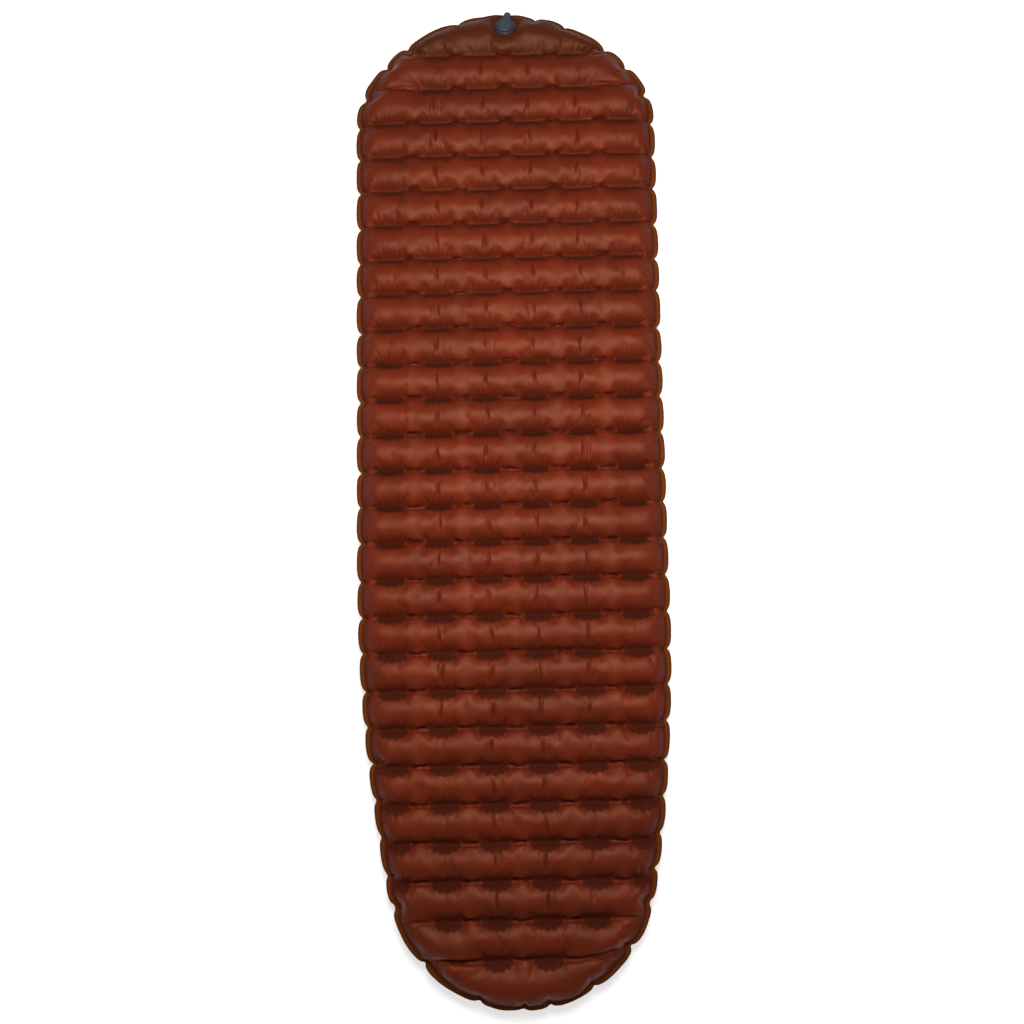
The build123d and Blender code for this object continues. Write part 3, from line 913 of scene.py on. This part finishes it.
@dataclass
class Envelope:
    """The pad's two sheets, blown up, creased and welded together round the rim."""

    layout: PadLayout
    groups: EffectGroups
    columns_per_tab: int = 20
    rows_per_chamber: int = 14
    seam_crowding: float = 0.40
    hem_gap: float = 0.35 * MM
    valve_hole: float = 15.2 * MM
    valve_flat: float = 23 * MM
    base_press: float = 2.0 * MM
    gap_slack: float = 0.13
    gap_lift: float = 4.5 * MM
    row_slack: float = 0.025
    edge_slack: float = 0.02
    seed: int = 5
    inflation: Inflation = field(default_factory=Inflation)
    end_notches: tuple[tuple[float, float, float], ...] = (
        (-0.182, 0.852, 6.0), (0.196, 0.844, 6.0), (-0.085, 0.898, 3.0), (0.063, 0.903, 2.5),
        (0.117, 0.884, 3.0), (-0.217, 0.809, 7.0), (0.226, 0.799, 7.0), (-0.163, -0.826, 6.5),
        (-0.077, -0.894, 6.0), (-0.002, -0.914, 3.5), (0.045, -0.907, 4.0), (0.188, -0.812, 7.0),
        (0.118, -0.872, 3.5),
    )
    bend_places: tuple[float, ...] = (-844, -708, -580, -440, -114, 510, 768, 850)
    bend_shifts: tuple[float, ...] = (0.8, 1.0, 0.8, -1.0, -3.0, 0.7, 2.0, 0.0)
    end_folds: tuple[tuple[float, float, float, float], ...] = (
        (-0.146, 0.829, -0.180, 0.848), (0.146, 0.829, 0.192, 0.841),
        (-0.070, -0.829, -0.158, -0.824), (0.070, -0.829, 0.183, -0.810),
    )

    def __post_init__(self) -> None:
        """Puts a notch in the rim at every seam and at the folds of the ends."""
        rng = np.random.default_rng(self.seed)
        notches = [(x, y, d * MM) for x, y, d in self.end_notches]
        for y, reach in zip(self.layout.seams[1:-1], self.layout.reach[1:-1]):
            for x in (-0.3, 0.3):
                depth = rng.uniform(4.5, 6.5) + (4.5 if reach < 0.2 else 0)
                notches.append((x, y + rng.uniform(-3, 3) * MM, depth * MM))
        node = bpy.data.objects["bottom_sheet"]
        self.rim = RimLine.from_sheet(node, self.layout.rim_height, notches)

    def build(self) -> bpy.types.Object:
        """Makes the envelope.

        Returns:
            The finished piece.
        """
        sheet, held, slack = self.cut_sheet()
        self.inflation.run(sheet, held, slack)
        self.settle_crests(sheet)
        finer = sheet.modifiers.new("finer", "SUBSURF")
        finer.levels = finer.render_levels = 1
        mesh = bpy.data.meshes.new_from_object(sheet.evaluated_get(bpy.context.evaluated_depsgraph_get()))
        bpy.data.objects.remove(sheet)
        self.crease(mesh)
        piece = bpy.data.objects.new("pad_envelope", self.join_sides(mesh))
        bpy.context.scene.collection.objects.link(piece)
        self.dress(piece)
        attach(piece, "pad")
        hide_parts("top_sheet", "bottom_sheet")
        return piece

    # ------------------------------------------------ cutting

    def cut_sheet(self) -> tuple[bpy.types.Object, np.ndarray, np.ndarray]:
        """Cuts the top sheet and gives it the shape from which it is blown up.

        Returns:
            The sheet, which points are held, and the cloth's slack at each.
        """
        lay = self.layout
        across, deep = lay.tab_pitch / self.columns_per_tab, lay.pitch / self.rows_per_chamber
        half = np.abs(self.rim.corners).max(axis=0)
        columns, rows = (int(math.ceil(half[0] / across)), int(math.ceil(half[1] / deep)))
        net = bmesh.new()
        bmesh.ops.create_grid(net, x_segments=2 * columns, y_segments=2 * rows, size=0.5)
        bmesh.ops.scale(net, vec=(2 * columns * across, 2 * rows * deep, 1), verts=net.verts)
        for vert in net.verts:
            turn = math.tau * vert.co.y / lay.pitch
            vert.co.y += self.seam_crowding * lay.pitch / math.tau * math.sin(turn)
        inside, _, _ = self.rim.measure(np.array([v.co[:2] for v in net.verts]))
        net.verts.index_update()
        room = lay.flange + 0.2 * across
        outer = [f for f in net.faces if any(inside[v.index] < room for v in f.verts)]
        bmesh.ops.delete(net, geom=outer, context="FACES")
        self.fit_edge(net, across)
        plan = np.array([v.co[:2] for v in net.verts])
        inside, way, along = self.rim.measure(plan)
        inside -= lay.flange
        inside[[v.is_boundary for v in net.verts]] = 0
        height, held = self.start_height(plan, inside)
        store = net.verts.layers.float_vector.new(Layer.PLAN.value)
        push = self.rim.offset(along) * np.exp(-((inside / (13 * MM)) ** 2))
        for vert, p, w, o, z in zip(net.verts, plan, way, push, height):
            vert[store] = (p[0], p[1], 0.0)
            vert.co = (p[0] + w[0] * o, p[1] + w[1] * o, z)
        mesh = bpy.data.meshes.new("sheet")
        net.to_mesh(mesh)
        net.free()
        sheet = bpy.data.objects.new("sheet", mesh)
        bpy.context.scene.collection.objects.link(sheet)
        log.info("sheet cut: %d points", len(mesh.vertices))
        return sheet, held, self.cloth_slack(plan, inside)

    def fit_edge(self, net: bmesh.types.BMesh, across: float) -> None:
        """Moves the cut edge of the net onto the weld's inner line and evens what is beside it.

        Args:
            net: The net, already trimmed.
            across: Width of its columns.
        """
        edge = [v for v in net.verts if v.is_boundary]
        inside, way, _ = self.rim.measure(np.array([v.co[:2] for v in edge]))
        for vert, d, w in zip(edge, inside - self.layout.flange, way):
            vert.co.x += w[0] * d
            vert.co.y += w[1] * d
        inner = [v for v in net.verts if not v.is_boundary]
        depth = self.rim.measure(np.array([v.co[:2] for v in inner]))[0] - self.layout.flange
        near = [v for v, d in zip(inner, depth) if d < 3 * across]
        for _ in range(4):
            bmesh.ops.smooth_vert(
                net, verts=near, factor=0.5, use_axis_x=True, use_axis_y=True, use_axis_z=False
            )

    def start_height(self, plan: np.ndarray, inside: np.ndarray) -> tuple[np.ndarray, np.ndarray]:
        """Gives the sheet's first height: round rows between flat lands, and a round edge.

        Args:
            plan: Plan positions.
            inside: Distance inside the weld's inner line.

        Returns:
            Height above the rim, and 1 where the sheet is held there.
        """
        lay = self.layout
        rise, radius = lay.crest_rise - lay.land_rise, lay.row_radius
        off = np.abs(plan[:, 1] - np.round(plan[:, 1] / lay.pitch) * lay.pitch)
        back = np.sqrt(np.maximum(radius**2 - np.minimum(off, lay.row_half) ** 2, 0))
        row = lay.land_rise - (radius - rise) + back
        row = np.where(np.abs(plan[:, 1]) > lay.pitch * len(lay.seams) / 2, lay.crest_rise, row)
        row += self.gap_lift * self.open_gap(plan, 11 * MM)
        share = np.clip(inside / lay.edge_radius, 0, 1)
        edge = lay.crest_rise * np.sin(share * math.pi / 2) ** 0.75
        height = np.maximum(soft_least(edge, row, 6 * MM), 0)
        held = (inside < 1e-5).astype(float)
        step = 0.8 * lay.pitch / self.rows_per_chamber
        for index, seam in enumerate(lay.seams):
            near = np.abs(plan[:, 1] - seam) < step
            for start, end in lay.tabs(index):
                tab = near & (plan[:, 0] > start - 0.1 * MM) & (plan[:, 0] < end + 0.1 * MM)
                held[tab] = 1
                height[tab] = lay.land_rise
        far = lay.from_valve(plan)
        seat = 1 - smooth(far, self.valve_flat, self.valve_flat + 14 * MM)
        height = height * (1 - seat) + np.minimum(lay.valve_plane(plan) - 0.15 * MM, height + 9 * MM) * seat
        held[far < self.valve_flat] = 1
        return height, held

    def cloth_slack(self, plan: np.ndarray, inside: np.ndarray) -> np.ndarray:
        """Gives the cloth's slack: most in the gaps between tabs, some over the rows and at the edge.

        Args:
            plan: Plan positions.
            inside: Distance inside the weld's inner line.

        Returns:
            Share by which the cloth is larger than the starting shape.
        """
        slack = self.row_slack + (self.gap_slack - self.row_slack) * self.open_gap(plan, 16 * MM)
        slack += self.edge_slack * np.exp(-((inside / (12 * MM)) ** 2))
        return slack * (1 + 0.3 * ripple(plan, 35 * MM, self.seed + 1))

    def open_gap(self, plan: np.ndarray, width: float) -> np.ndarray:
        """1 in the gaps between tabs, falling to 0 at the tabs and away from the seam.

        Args:
            plan: Plan positions.
            width: How far from the seam a gap reaches.

        Returns:
            The share of gap.
        """
        lay = self.layout
        middle = np.abs(plan[:, 0])
        gap = np.abs(middle - np.round(middle / lay.tab_pitch) * lay.tab_pitch)
        gap = np.clip(1 - (gap / ((lay.tab_pitch - lay.tab_length) / 2)) ** 2, 0, 1)
        seam = np.abs(plan[:, 1] - (np.round(plan[:, 1] / lay.pitch - 0.5) + 0.5) * lay.pitch)
        return gap * np.clip(1 - (seam / width) ** 2, 0, 1)

    # ------------------------------------------------ creasing

    def settle_crests(self, sheet: bpy.types.Object) -> None:
        """Brings the crests down to the pad's height, and leaves the lands where they are."""
        lay = self.layout
        where = points(sheet.data)
        above = where[:, 2] - lay.land_rise
        top = float(np.percentile(where[:, 2], 97)) - lay.land_rise
        share = min(1.0, (lay.crest_rise - lay.land_rise) / top)
        where[:, 2] = np.where(above > 0, lay.land_rise + above * share, where[:, 2])
        place(sheet.data, where)

    def tab_spots(self) -> list[tuple[int, float, float, float]]:
        """Lists the tabs: seam number, middle across, seam position and length."""
        return [
            (index, (start + end) / 2, float(seam), end - start)
            for index, seam in enumerate(self.layout.seams)
            for start, end in self.layout.tabs(index)
        ]

    def crease(self, mesh: bpy.types.Mesh) -> None:
        """Adds the creases that are finer than the cloth, and the masks that the finish reads, which hold
        painted shade and, on the flange, painted light.

        Args:
            mesh: The blown-up top sheet.
        """
        lay = self.layout
        store = np.empty(len(mesh.vertices) * 3, np.float32)
        mesh.attributes[Layer.PLAN.value].data.foreach_get("vector", store)
        plan = store.reshape(-1, 3)[:, :2].astype(float)
        where, normal = points(mesh), normals(mesh)
        inside, _, along = self.rim.measure(plan)
        inside -= lay.flange
        marks = Marks(plan, lay, np.random.default_rng(self.seed + 2))
        for index, x, y, length in self.tab_spots():
            spot = marks.around(x, y)
            marks.weld_patch(index, spot, y, length)
            marks.fans(index, spot)
            if self.has_slit(index, x):
                marks.slit(spot)
        for index in range(len(lay.seams)):
            marks.seam_line(index, self.seed + 20 + index)
        for x1, y1, x2, y2 in self.end_folds:
            marks.valley((x1, y1), (x2, y2))
        push = marks.push
        pucker = np.sin(along * math.tau / (12 * MM) + 2.2 * np.sin(along * math.tau / (67 * MM)))
        pucker *= np.exp(-(((inside - 9 * MM) / (9 * MM)) ** 2)) * (0.35 + 0.65 * self.rim.near_notch(along))
        push += 0.8 * MM * pucker + 0.5 * MM * ripple(plan, 46 * MM, self.seed + 3) * smooth(inside, 0, 0.02)
        calm = smooth(lay.from_valve(plan), self.valve_flat, self.valve_flat + 16 * MM)
        push *= calm * smooth(inside, 0, 6 * MM)
        where += normal * push[:, None]
        bent = where[:, 0] + self.bend(where[:, 1])
        for _, x, y, length in self.tab_spots():
            over = (np.abs(bent - x) < length / 2 + 4.5 * MM) & (np.abs(where[:, 1] - y) < 5 * MM)
            where[over, 2] = np.maximum(where[over, 2], lay.land_rise)
        place(mesh, where)
        # Apart from the head tint, these masks carry painted shade (weld marks, creases, wrinkle fans, hem,
        # row ends) and, on the flange, painted light.
        keep_value(mesh, Layer.WELD, marks.weld)
        keep_value(mesh, Layer.FOLD, marks.fold * calm)
        keep_value(mesh, Layer.FAN, marks.fan * calm)
        keep_value(mesh, Layer.RIM, 1 - smooth(inside, -0.5 * MM, 1.5 * MM))
        keep_value(mesh, Layer.HEM, np.zeros(len(plan)))
        # Painted shade at the row ends, fading over about 13 mm from the edge.
        keep_value(mesh, Layer.EDGE, np.exp(-((inside / (13 * MM)) ** 2)))
        keep_value(mesh, Layer.HEAD, smooth(plan[:, 1], float(lay.seams[0]), float(lay.seams[0]) + 8 * MM))

    def has_slit(self, index: int, x: float) -> bool:
        """Whether the row on the head side of a tab has a slit crease there."""
        last = len(self.layout.seams) - 1
        if index == 0 or index > last - 1 or abs(x) > 2 * self.layout.tab_pitch:
            return False
        return abs(x) < self.layout.tab_pitch or 1 < index < last - 5

    # ------------------------------------------------ joining

    def join_sides(self, top: bpy.types.Mesh) -> bpy.types.Mesh:
        """Mirrors the sheet for the base, adds the rim weld and the valve's hole, and joins it all.

        Args:
            top: The creased top sheet.

        Returns:
            The closed envelope, in its place on the ground.
        """
        lay = self.layout
        net = bmesh.new()
        net.from_mesh(top)
        plan_layer = net.verts.layers.float_vector[Layer.PLAN.value]
        rim_light_layer = net.verts.layers.float[Layer.RIM.value]
        hem_shade_layer = net.verts.layers.float[Layer.HEM.value]
        for face in net.faces:
            face.smooth = True
        copy = bmesh.ops.duplicate(net, geom=net.verts[:] + net.edges[:] + net.faces[:])["geom"]
        under = [g for g in copy if isinstance(g, bmesh.types.BMVert)]
        faces = [g for g in copy if isinstance(g, bmesh.types.BMFace)]
        bmesh.ops.scale(net, vec=(1, 1, -1), verts=under)
        bmesh.ops.reverse_faces(net, faces=faces)
        for face in faces:
            face.material_index = 1
        below = set(under)
        for side in Side:
            mine = [e for e in net.edges if e.is_boundary and (e.verts[0] in below) == (side is Side.BASE)]
            self.grow_flange(net, mine, side, plan_layer, rim_light_layer, hem_shade_layer)
        hem = [v for v in net.verts if v[hem_shade_layer] > 0.9]
        bmesh.ops.remove_doubles(net, verts=hem, dist=0.02 * MM)
        self.press_base(net, below)
        self.open_valve(net, below, plan_layer)
        for vert, shift in zip(net.verts, self.bend(np.array([v.co.y for v in net.verts]))):
            vert.co.x += float(shift)
        bmesh.ops.translate(net, vec=(0, 0, lay.rim_height), verts=net.verts)
        closed = bpy.data.meshes.new("pad_envelope")
        net.to_mesh(closed)
        net.free()
        return closed

    def grow_flange(
        self,
        net: bmesh.types.BMesh,
        edges: list[bmesh.types.BMEdge],
        side: Side,
        plan_layer: object,
        rim_light_layer: object,
        hem_shade_layer: object,
    ) -> None:
        """Extrudes one layer of the rim weld outwards from a sheet's edge.

        Args:
            net: The envelope.
            edges: The sheet's edge.
            side: Which sheet.
            plan_layer: Layer of the plan positions.
            rim_light_layer: Layer that marks the rim weld.
            hem_shade_layer: Layer that marks the cut edge.
        """
        # The last number of each step is how much painted shade the hem's edge gets; every point of the
        # flange is marked for its painted-light lighter colour.
        steps = ((0.45, 1.0, 0.0), (0.88, 1.0, 0.35), (1.0, 0.0, 1.0))
        loop = {v for e in edges for v in e.verts}
        for vert in loop:
            vert.co.z = side.value * self.hem_gap
            vert[rim_light_layer] = 1.0
        home = {v: v.co.copy() for v in loop}
        _, outward, along = self.rim.measure(np.array([v[plan_layer][:2] for v in loop]))
        ways, places = dict(zip(loop, outward)), dict(zip(loop, along))
        for reach, thick, hem in steps:
            made = bmesh.ops.extrude_edge_only(net, edges=edges)["geom"]
            fresh = [g for g in made if isinstance(g, bmesh.types.BMVert)]
            edges = [g for g in made if isinstance(g, bmesh.types.BMEdge)]
            old = self.partners(fresh, home)
            home = {v: home[o] for v, o in old.items()}
            ways = {v: ways[o] for v, o in old.items()}
            places = {v: places[o] for v, o in old.items()}
            for vert in fresh:
                way, spot = ways[vert], places[vert]
                wave = 1.3 * MM * math.sin(spot * math.tau / 0.061 + 1.7 * math.sin(spot * 23)) * reach
                far = self.layout.flange * reach
                vert.co = home[vert] + Vector((way[0] * far, way[1] * far, 0))
                vert.co.z = side.value * self.hem_gap * thick + wave
                vert[rim_light_layer], vert[hem_shade_layer] = 1.0, hem
            for face in {f for v in fresh for f in v.link_faces}:
                face.smooth = True
                face.material_index = 0 if side is Side.TOP else 1

    @staticmethod
    def partners(fresh: list[bmesh.types.BMVert], home: dict) -> dict:
        """Finds the point that each new point was extruded from."""
        found = {}
        for vert in fresh:
            for edge in vert.link_edges:
                other = edge.other_vert(vert)
                if other in home:
                    found[vert] = other
        return found

    def press_base(self, net: bmesh.types.BMesh, below: set) -> None:
        """Presses the base flat where it rests on the ground."""
        floor = -self.layout.rim_height
        for vert in net.verts:
            if vert in below and vert.is_valid:
                gap = (vert.co.z - floor) / self.base_press
                pressed = max(0.0, math.exp(gap - 1) - 0.135) / 0.865
                vert.co.z = floor + self.base_press * (gap if gap > 1 else pressed)

    def open_valve(self, net: bmesh.types.BMesh, below: set, plan_layer: object) -> None:
        """Cuts the hole for the valve's base in the top sheet and turns its edge in.

        Args:
            net: The envelope.
            below: Points of the base.
            plan_layer: Layer of the plan positions.
        """
        seat, axis = self.layout.valve_seat, self.layout.valve_axis
        middle = Vector((seat.x, seat.y))
        away = {v: (Vector(v[plan_layer][:2]) - middle).length for v in net.verts}
        gone = [
            f for f in net.faces
            if all(v not in below for v in f.verts) and any(away[v] < self.valve_hole for v in f.verts)
        ]
        bmesh.ops.delete(net, geom=gone, context="FACES")
        around = 2 * self.valve_hole
        ring = [e for e in net.edges if e.is_boundary and all(away.get(v, 1) < around for v in e.verts)]
        local = Vector((seat.x, seat.y, seat.z - self.layout.rim_height))
        for vert in {v for e in ring for v in e.verts}:
            flat = vert.co - local
            flat -= axis * flat.dot(axis)
            vert.co = local + flat.normalized() * self.valve_hole - axis * 0.15 * MM
        made = bmesh.ops.extrude_edge_only(net, edges=ring)["geom"]
        turned_in = [g for g in made if isinstance(g, bmesh.types.BMVert)]
        bmesh.ops.translate(net, vec=-axis * 1.2 * MM, verts=turned_in)
        for face in {f for v in turned_in for f in v.link_faces}:
            face.smooth = False

    def bend(self, along: np.ndarray) -> np.ndarray:
        """How far the pad is bent sideways, like one that was unrolled by hand.

        Args:
            along: Positions along the pad.

        Returns:
            The sideways shift at each.
        """
        return np.interp(along, np.array(self.bend_places) * MM, np.array(self.bend_shifts) * MM)

    # ------------------------------------------------ dressing

    def dress(self, piece: bpy.types.Object) -> None:
        """Gives the envelope its two fabrics."""
        # In each fabric, weld is the weld marks' colour deepened with painted shade, rim a lighter orange
        # painted as light on the flange, hem painted shade for the cut edge and creases, and deep the darker
        # dye tone that is also painted shade in fans and at the row ends.
        top = CoatedFabric(
            name="satin shell fabric",
            face=srgb(111, 33, 11),
            deep=srgb(76, 25, 12),
            weld=srgb(54, 23, 16),
            rim=srgb(108, 52, 20),
            hem=srgb(38, 16, 9),
            head=srgb(62, 29, 14),
        )
        base = CoatedFabric(
            name="matt base fabric",
            face=srgb(92, 33, 20),
            deep=srgb(74, 27, 17),
            weld=srgb(58, 26, 22),
            rim=srgb(98, 46, 22),
            hem=srgb(44, 18, 10),
            head=srgb(82, 32, 19),
            roughness=0.62,
            sheen=0.1,
            specular=0.35,
        )
        for finish in (top, base):
            piece.data.materials.append(finish.material(self.groups))


# ---------------------------------------------------------------- webs and valve


@dataclass
class Webs:
    """The webs that tie the two sheets together, inside."""

    groups: EffectGroups

    def dress(self, frame: dict) -> int:
        """Gives every web its film.

        Args:
            frame: The loaded frame.

        Returns:
            How many webs there are.
        """
        film = WebFilm().material(self.groups)
        webs = [node for name, node in frame["nodes"].items() if name.startswith("web_")]
        for web in webs:
            finish_node(web, film)
        return len(webs)


def finish_node(node: bpy.types.Object, material: bpy.types.Material) -> None:
    """Puts a material in every slot of a CAD node."""
    if not node.material_slots:
        node.data.materials.append(material)
    for spot in node.material_slots:
        spot.material = material


@dataclass
class Valve:
    """The two-stage valve at the head end."""

    groups: EffectGroups
    finishes: dict[str, Moulded] = field(
        default_factory=lambda: {
            "valve_base": Moulded("valve base plastic", srgb(40, 44, 50), srgb(56, 60, 67), 0.42),
            "plug_body": Moulded("plug plastic", srgb(46, 51, 58), srgb(62, 66, 74), 0.4),
            "lid": Moulded("lid plastic", srgb(58, 63, 70), srgb(78, 82, 89), 0.38),
            **{
                name: Moulded(title, srgb(30, 30, 32), srgb(48, 48, 50), 0.55, 0.35, 1800.0)
                for name, title in (("plug_ring", "sealing ring rubber"), ("lid_washer", "lid washer rubber"))
            },
            "one_way_flap": Moulded(
                "flap silicone", srgb(196, 196, 190), srgb(214, 214, 208), 0.35, 0.2, 1500.0, 0.2, 0.25
            ),
        }
    )

    def dress(self, frame: dict) -> list[str]:
        """Gives every part of the valve its finish.

        Args:
            frame: The loaded frame.

        Returns:
            Names of the dressed parts.
        """
        for name, finish in self.finishes.items():
            finish_node(frame["nodes"][name], finish.material(self.groups))
        finish_node(frame["nodes"]["hinge_pin"], DrawnSteel().material(self.groups))
        return [*self.finishes, "hinge_pin"]


# ---------------------------------------------------------------- studio


@dataclass
class Studio:
    """Pale floor, large soft lights and the camera."""

    eye: Vector = field(default_factory=lambda: Vector((-2.1, -263.0, 2018.0)) * MM)
    target: Vector = field(default_factory=lambda: Vector((-2.1, -44.1, 36.0)) * MM)
    roll: float = math.radians(1.27)
    lens: float = 38.3
    floor_size: float = 40.0
    key_power: float = 22.0
    key_size: float = 0.8
    key_place: Vector = field(default_factory=lambda: Vector((0.04, 0.22, 1.3)))
    sky: float = 0.26
    floor_glow: float = 0.55

    def set_camera(self) -> bpy.types.Object:
        """Makes the camera.

        Returns:
            The camera, set as the scene's own.
        """
        data = bpy.data.cameras.new("camera")
        data.lens, data.sensor_width, data.clip_end = self.lens, 36.0, 50.0
        camera = bpy.data.objects.new("camera", data)
        forward = (self.target - self.eye).normalized()
        right = Vector((1, 0, 0))
        up = right.cross(forward)
        turned_up = up * math.cos(self.roll) + right * math.sin(self.roll)
        turned_right = right * math.cos(self.roll) - up * math.sin(self.roll)
        turn = Matrix((turned_right, turned_up, -forward)).transposed()
        camera.matrix_world = Matrix.Translation(self.eye) @ turn.to_4x4()
        bpy.context.scene.collection.objects.link(camera)
        bpy.context.scene.camera = camera
        return camera

    def set_lights(self) -> None:
        """Makes a large soft light round the camera, and an even sky."""
        data = bpy.data.lights.new("key", "AREA")
        data.shape, data.size, data.energy = "DISK", self.key_size, self.key_power
        key = bpy.data.objects.new("key", data)
        key.location = self.key_place
        key.visible_camera = False
        bpy.context.scene.collection.objects.link(key)
        world = bpy.data.worlds.new("sky")
        world.use_nodes = True
        back = world.node_tree.nodes["Background"]
        back.inputs["Color"].default_value = (1.0, 0.995, 0.985, 1.0)
        back.inputs["Strength"].default_value = self.sky
        bpy.context.scene.world = world
        bpy.context.scene.view_settings.view_transform = "Standard"

    def set_floor(self) -> None:
        """Makes the floor, a pale sheet."""
        net = bmesh.new()
        bmesh.ops.create_grid(net, x_segments=8, y_segments=8, size=self.floor_size / 2)
        mesh = bpy.data.meshes.new("floor")
        net.to_mesh(mesh)
        net.free()
        floor = bpy.data.objects.new("floor", mesh)
        bpy.context.scene.collection.objects.link(floor)
        floor.location.z = -0.0004
        material, _, face = new_material("pale floor")
        face.inputs["Base Color"].default_value = (0.95, 0.95, 0.95, 1.0)
        face.inputs["Roughness"].default_value = 0.9
        face.inputs["Emission Color"].default_value = (1.0, 1.0, 1.0, 1.0)
        face.inputs["Emission Strength"].default_value = self.floor_glow
        mesh.materials.append(material)


# ---------------------------------------------------------------- main


def corners(box: tuple) -> list[list[float]]:
    """Turns a box into plain lists."""
    return [[float(c) for c in corner] for corner in box]


def main() -> None:
    """Builds the looks in order and reports each piece."""
    logging.basicConfig(level=logging.INFO, format="%(name)s: %(message)s")
    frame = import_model()
    studio = Studio()
    studio.set_camera()
    studio.set_lights()
    studio.set_floor()
    groups = EffectGroups()
    layout = PadLayout.from_frame(frame)
    log.info("webs dressed: %d", Webs(groups).dress(frame))
    log.info("valve dressed: %s", ", ".join(Valve(groups).dress(frame)))
    envelope = Envelope(layout, groups).build()
    log.info("envelope: %d points", len(envelope.data.vertices))


if __name__ == "__main__":
    main()
